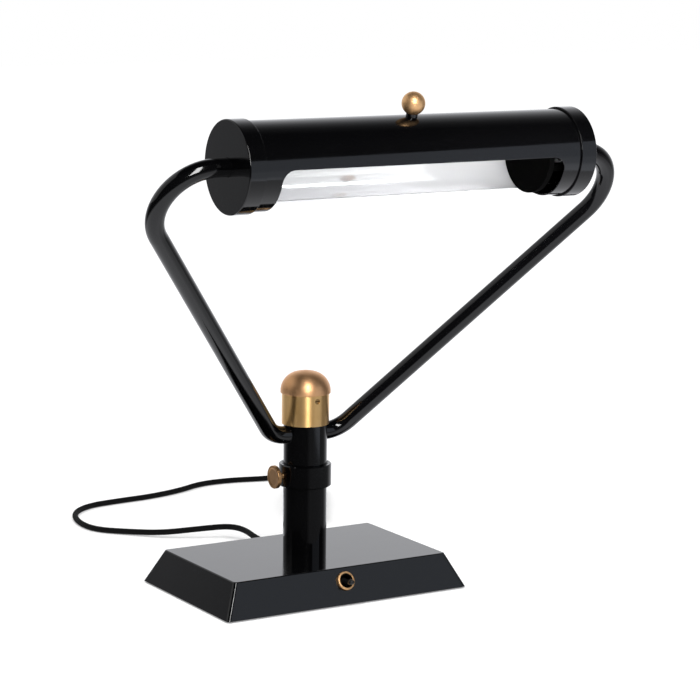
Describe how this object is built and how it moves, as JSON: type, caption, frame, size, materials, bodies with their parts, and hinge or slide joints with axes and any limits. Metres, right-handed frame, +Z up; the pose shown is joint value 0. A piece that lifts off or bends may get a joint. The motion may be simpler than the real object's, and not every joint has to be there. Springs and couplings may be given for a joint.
{
  "type": "desk lamp",
  "caption": "Desk lamp: tubular shade in a bent yoke that tilts and swivels on a short post, with a sloped weighted base, toggle switch, brass clamp knob and mains lead.",
  "frame": {"origin": "centre of the base's footprint, on the table", "axes": "+Z up, -Y to the front (toggle switch), +X to the right seen from the front"},
  "size_m": [0.3727, 0.4938, 0.373],
  "materials": {
    "base_enamel": "gloss",
    "black_enamel": "gloss",
    "cap_enamel": "satin",
    "plate_enamel": "satin",
    "ring_brass": "satin",
    "knob_brass": "satin",
    "thumb_brass": "satin",
    "ball_brass": "polished",
    "lever_black": "gloss",
    "plain_brass": "satin",
    "steel": "satin",
    "ballast_iron": "matte",
    "felt": "matte",
    "mirror_sheet": "polished",
    "lamp_glass": "satin",
    "lamp_metal": "satin",
    "holder_plastic": "matte",
    "cord_cover": "matte",
    "tie_strap": "matte",
    "lead_rubber": "matte"
  },
  "bodies": {
    "base": {"base_casting": "base_enamel", "bottom_plate": "plate_enamel", "plate_screws": "steel", "felt_pad": "felt", "ballast_blocks": "ballast_iron", "lower_post": "black_enamel", "post_washer": "steel", "post_nut": "steel", "collar": "black_enamel", "thrust_washer": "plain_brass", "switch_body": "holder_plastic", "switch_ring_nut": "ball_brass", "terminal_block": "holder_plastic", "strain_relief": "lead_rubber", "cord_lead": "cord_cover", "cord_hank": "cord_cover", "hank_tie": "tie_strap", "plug_body": "lead_rubber", "plug_pins": "plain_brass"},
    "mast": {"upper_stem": "black_enamel", "mast_spigot": "steel", "clamp_ring": "ring_brass", "ring_screw": "ring_brass", "clamp_bush": "plain_brass", "pressure_shoe": "plain_brass"},
    "knob": {"clamp_knob": "knob_brass", "knob_stud": "steel"},
    "thumb": {"thumb_screw": "thumb_brass"},
    "yoke": {"left_arm": "black_enamel", "right_arm": "black_enamel", "arm_coupling": "plain_brass", "coupling_screws": "steel", "left_end_cap": "cap_enamel", "right_end_cap": "cap_enamel", "cap_nuts": "steel", "left_lamp_holder": "holder_plastic", "right_lamp_holder": "holder_plastic", "lamp_tube": "lamp_glass", "lamp_ferrules": "lamp_metal"},
    "shade": {"shade_tube": "black_enamel", "reflector": "mirror_sheet", "ball_knob": "ball_brass", "ball_foot": "black_enamel", "ball_stud": "plain_brass", "ball_washer": "plain_brass", "ball_nut": "plain_brass"},
    "toggle": {"switch_lever": "lever_black"}
  },
  "joints": [
    {"name": "mast_swivel", "type": "hinge", "parent": "base", "child": "mast", "pos_m": [0, 0, 0.08], "axis": [0, 0, 1], "range_deg": [-170, 170]},
    {"name": "yoke_tilt", "type": "hinge", "parent": "mast", "child": "yoke", "pos_m": [0, 0, 0.11475], "axis": [1, 0, 0], "range_deg": [-40, 40]},
    {"name": "shade_turn", "type": "hinge", "parent": "yoke", "child": "shade", "pos_m": [0, -0.13211, 0.32699], "axis": [1, 0, 0], "range_deg": [-45, 75]},
    {"name": "knob_turn", "type": "hinge", "parent": "mast", "child": "knob", "pos_m": [0, 0, 0.15], "axis": [0, 0, 1], "range_deg": [0, 360]},
    {"name": "thumb_screw_turn", "type": "hinge", "parent": "base", "child": "thumb", "pos_m": [-0.02, 0, 0.08425], "axis": [-1, 0, 0], "range_deg": [0, 360]},
    {"name": "switch_toggle", "type": "hinge", "parent": "base", "child": "toggle", "pos_m": [0, -0.05508, 0.01458], "axis": [-1, 0, 0], "range_deg": [0, 24]}
  ]
}
